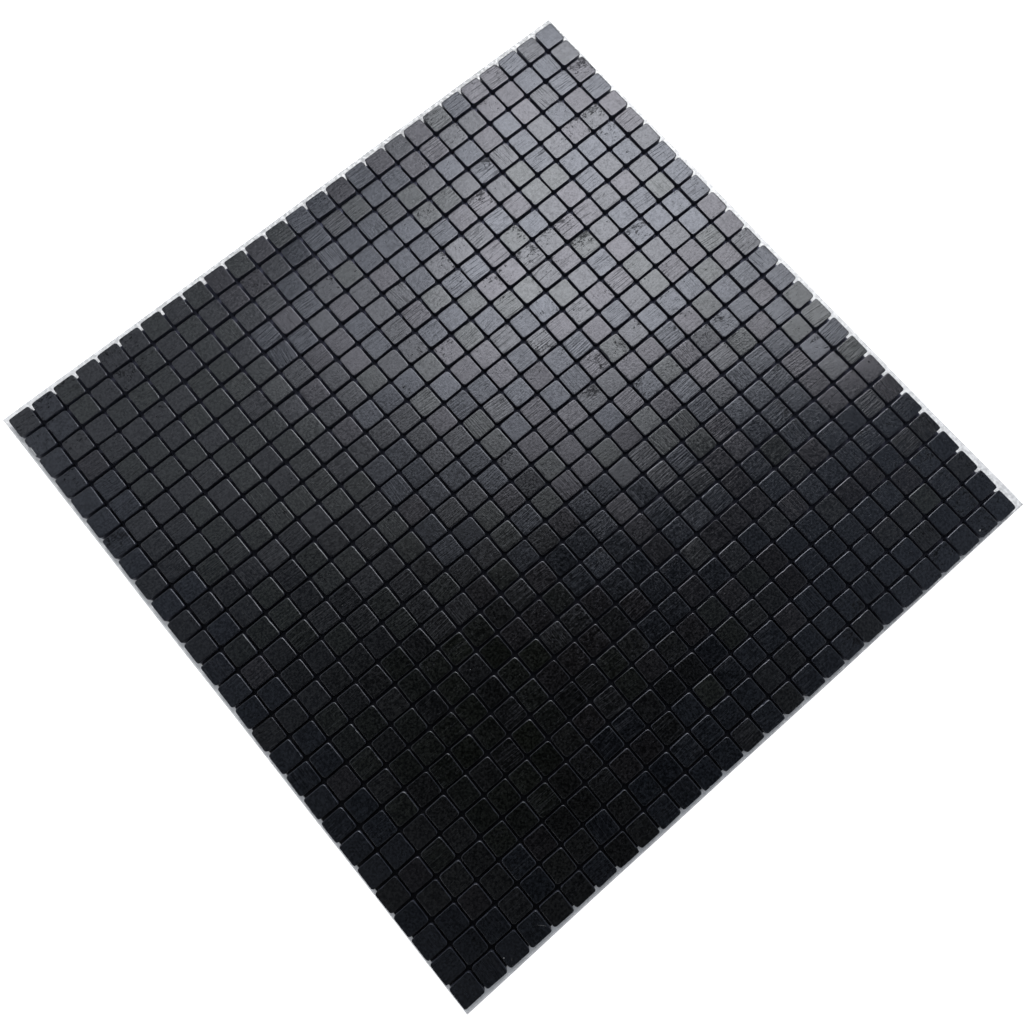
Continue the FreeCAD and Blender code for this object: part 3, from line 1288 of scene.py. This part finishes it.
# %% [markdown]
# The marks are placed on the grid, in pitches from the front left corner: where each is, how
# long and wide in millimetres, its heading in degrees, and how pale it is.

# %% Place the marks
FACE_MARKS = (
    (25.23, 0.26, 1.2, 0.45, 20, 0.9),
    (2.10, 0.40, 0.45, 0.40, 0, 1.0),
    (3.755, 0.355, 4.2, 0.13, -47, 0.35),
    (2.285, 0.195, 1.6, 0.12, 45, 0.25),
    (7.4, 8.6, 0.35, 0.3, 0, 0.5),
    (5.3, 13.4, 0.3, 0.25, 0, 0.45),
    (16.3, 4.7, 0.35, 0.25, 30, 0.4),
)
MARK_RISE = 0.02
CRUMBS = 16
CRUMB_SIZE = (0.4, 0.9)
CRUMB_WIDTH = 0.8
CRUMB_HEIGHT = 0.6
CRUMB_STRAY = 0.2
CRUMB_PALE = (0.3, 0.8)

marks = []
for place_x, place_y, length, width, heading, pale in FACE_MARKS:
    centre = on_chip(*on_grid(place_x, place_y))
    marks.append((dome(centre, length, width, math.radians(heading), MARK_RISE), pale))
for _ in range(CRUMBS):
    x, y = on_grid(*chance.integers(1, COLUMNS, 2))
    size = chance.uniform(*CRUMB_SIZE)
    stray = np.append(chance.uniform(-CRUMB_STRAY, CRUMB_STRAY, 2), film_high[2])
    heading = chance.uniform(0, 3)
    lump = dome(stray + (x, y, 0), size, CRUMB_WIDTH * size, heading, CRUMB_HEIGHT * size)
    marks.append((lump, chance.uniform(*CRUMB_PALE)))

points = np.concatenate([mark[0][0] for mark in marks])
faces = np.concatenate([
    mark[0][1] + number * (DOME_POINTS + 2) for number, mark in enumerate(marks)
])
pale = np.repeat([mark[1] for mark in marks], DOME_POINTS + 2)
stone_dust = mesh_object("stone_dust", points, faces.tolist(), [dust_material])
store(stone_dust.data, "pale", pale)
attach(stone_dust, "root")
print("marks and crumbs:", len(marks))

# %% [markdown]
# ## The floor
#
# The sheet lies on a plain white floor. The floor's diffuse white catches the sheet's shadow,
# and an emission that only the camera and mirror-like rays see lifts it to the white of the
# photograph, without putting any light on the object.

# %% Build the floor
FLOOR_REACH = 2500.0
FLOOR_DROP = -0.02
FLOOR_WHITE = (0.8, 0.8, 0.8, 1)
FLOOR_GLOW = 0.80

floor_material, tree, shader = blank_material("white_floor")
light_path = tree.nodes.new("ShaderNodeLightPath")
seen = maths(tree, "MAXIMUM", light_path.outputs["Is Camera Ray"],
             light_path.outputs["Is Glossy Ray"])
seen = maths(tree, "MAXIMUM", seen, light_path.outputs["Is Transmission Ray"])
fill(tree, shader, {
    "Base Color": FLOOR_WHITE, "Roughness": 0.9, "Specular IOR Level": 0.1,
    "Emission Color": (1, 1, 1, 1), "Emission Strength": times(tree, seen, FLOOR_GLOW),
})
corners = FLOOR_REACH * np.array(CORNERS, dtype=float)
corners = np.column_stack([corners, np.full(4, FLOOR_DROP)])
floor = mesh_object("floor", corners, [[0, 1, 2, 3]], [floor_material])
print("floor reach in mm:", FLOOR_REACH)

# %% [markdown]
# ## The light
#
# The photograph has one soft window of light: a sheen that is brightest on the upper right of
# the sheet and fades to black at the lower left. A sheen is a mirror image of the lamps, so its
# middle and its spread tell where they hang and how large they are. Two panes side by side make
# the window, a large weak panel opens the shade on the left, and a low fill panel, aimed at the
# sheet's middle, picks out the worn edges on the chips' -X sides. Each lamp's power follows
# from its area and its radiance, which is how bright the lamp itself looks. On white paper the
# lamps and the room together come to a little under 1, so a colour looks about as it is
# written.

# %% Hang the lamps
LAMP_HEIGHT = 600.0

PLAIN = (1.0, 1.0, 1.0)
COOL = (0.99, 1.0, 1.03)

# name, place beside the field's middle along X and Y, height above the lowest, length and
# width, all in millimetres, then the turn in radians, the radiance and the tint
LAMPS = (
    ("window_pane", 461.0, 254.0, 0.0, 502.0, 410.0, -0.769, 5.50, PLAIN),
    ("window_pane_beside", 360.0, 380.0, 10.0, 673.0, 430.0, 0.534, 2.95, COOL),
    ("weak_panel", -323.0, 696.0, 20.0, 1429.0, 422.0, -0.800, 0.572, PLAIN),
)
# place from the sheet's origin, length, width, radiance and tint
FILL_PANEL = ((-640.0, 60.0, 170.0), 900.0, 220.0, 1.2, PLAIN)
field_middle = (FIELD_LOW + FIELD_HIGH) / 2


def hang_lamp(name, place, length, width, radiance, tint):
    """A rectangular lamp at a place in millimetres, which still has to be turned."""
    lamp_data = bpy.data.lights.new(name, "AREA")
    lamp_data.shape = "RECTANGLE"
    lamp_data.size = length * MM
    lamp_data.size_y = width * MM
    lamp_data.color = tint
    lamp_data.energy = radiance * math.pi * lamp_data.size * lamp_data.size_y
    lamp = bpy.data.objects.new(name, lamp_data)
    lamp.location = Vector(place) * MM
    bpy.context.scene.collection.objects.link(lamp)
    print(name, "power in watts:", round(lamp_data.energy, 2))
    return lamp


for name, x, y, rise, length, width, heading, radiance, tint in LAMPS:
    place = (field_middle[0] + x, field_middle[1] + y, FACE_Z + LAMP_HEIGHT + rise)
    hang_lamp(name, place, length, width, radiance, tint).rotation_euler = (0, 0, heading)

fill_panel = hang_lamp("fill_panel", *FILL_PANEL)
fill_panel.rotation_mode = "QUATERNION"
fill_panel.rotation_quaternion = aimed_turn(fill_panel.location, Vector((0, 0, 0)))

# %% [markdown]
# ## The room
#
# The world's shader gets the direction of each ray, and the same room is seen by all rays. The
# direction's height is its Z: 0 is the horizon, and 1 is straight up. How far it points a given
# way is a dot product, and a soft step turns either into a mask.

# %% Directions in the room
world = bpy.data.worlds.new("room")
world.use_nodes = True
tree = world.node_tree
tree.nodes.clear()
direction = tree.nodes.new("ShaderNodeTexCoord").outputs["Generated"]
upward = add(tree, "ShaderNodeSeparateXYZ", {0: direction}).outputs["Z"]


def towards(way):
    """How far the direction points a given way, where 1 is straight that way."""
    return add(tree, "ShaderNodeVectorMath", {0: direction, 1: way},
               operation="DOT_PRODUCT").outputs["Value"]


def soft_step(value, ends):
    """A soft step from 0 to 1."""
    return step_up(tree, value, *ends, kind="SMOOTHSTEP")


print("nodes for the direction:", len(tree.nodes))

# %% [markdown]
# Around the sheet the room is white near the floor, a bluish light grey higher up and black
# straight overhead. The dark ceiling is what the lower left chips mirror, and it is why they
# look black. Towards the reader the black reaches lower, so that side's chip edges don't shine.
# A few walls are paler than the rest, which the chips along the sheet's borders show.

# %% Light the room
ROOM_WHITE = (1.0, 1.0, 1.0, 1)
ROOM_GREY = (0.330, 0.380, 0.468, 1)
ROOM_BLACK = (0.0, 0.0, 0.0, 1)
DARK_SIDE = (-0.75, -0.66, 0.0)
CEILING_MIDDLE = (0.02, -0.045, 0.998)
# from and to what height the grey and the dark side come in, and the dark side ends
GREY_HEIGHTS = (0.15, 0.35)
DARK_HEIGHTS = (0.45, 0.65)
DARK_TOP = (0.90, 0.95)
# the same for how nearly a direction points to the dark side, and to the ceiling's middle
DARK_NEARNESS = (0.15, 0.45)
CEILING_NEARNESS = (0.893, 1.008)
# the way each paler part of the room lies, where it starts and is full, and how much paler
PALER_WALLS = (
    ((-1.0, 0.0, 0.0), 0.165, 0.235, 0.18),
    ((-0.9, -0.43, 0.0), 0.17, 0.25, 0.24),
    ((0.0, -1.0, 0.0), 0.165, 0.235, 0.20),
    ((0.9, -0.45, 0.0), 0.30, 0.48, 0.09),
    ((0.9, 0.45, 0.0), 0.76, 0.90, 1.00),
)

colour = over(tree, ROOM_WHITE, soft_step(upward, GREY_HEIGHTS), ROOM_GREY)
for way, start, full, amount in PALER_WALLS:
    paler = times(tree, soft_step(towards(way), (start, full)), amount)
    colour = over(tree, colour, paler, ROOM_WHITE)
below_top = maths(tree, "SUBTRACT", 1.0, soft_step(upward, DARK_TOP))
dark_side = times(tree, soft_step(upward, DARK_HEIGHTS), below_top)
dark_side = times(tree, soft_step(towards(DARK_SIDE), DARK_NEARNESS), dark_side)
colour = over(tree, colour, dark_side, ROOM_BLACK)
ceiling = soft_step(towards(CEILING_MIDDLE), CEILING_NEARNESS)
colour = over(tree, colour, ceiling, ROOM_BLACK)
background = add(tree, "ShaderNodeBackground", {"Color": colour})
output = tree.nodes.new("ShaderNodeOutputWorld")
tree.links.new(background.outputs[0], output.inputs["Surface"])
bpy.context.scene.world = world
print("room nodes:", len(tree.nodes))

# %% [markdown]
# ## Finish
#
# Colours are shown as they are, without a film look.

# %% Finish
bpy.context.scene.view_settings.view_transform = "Standard"
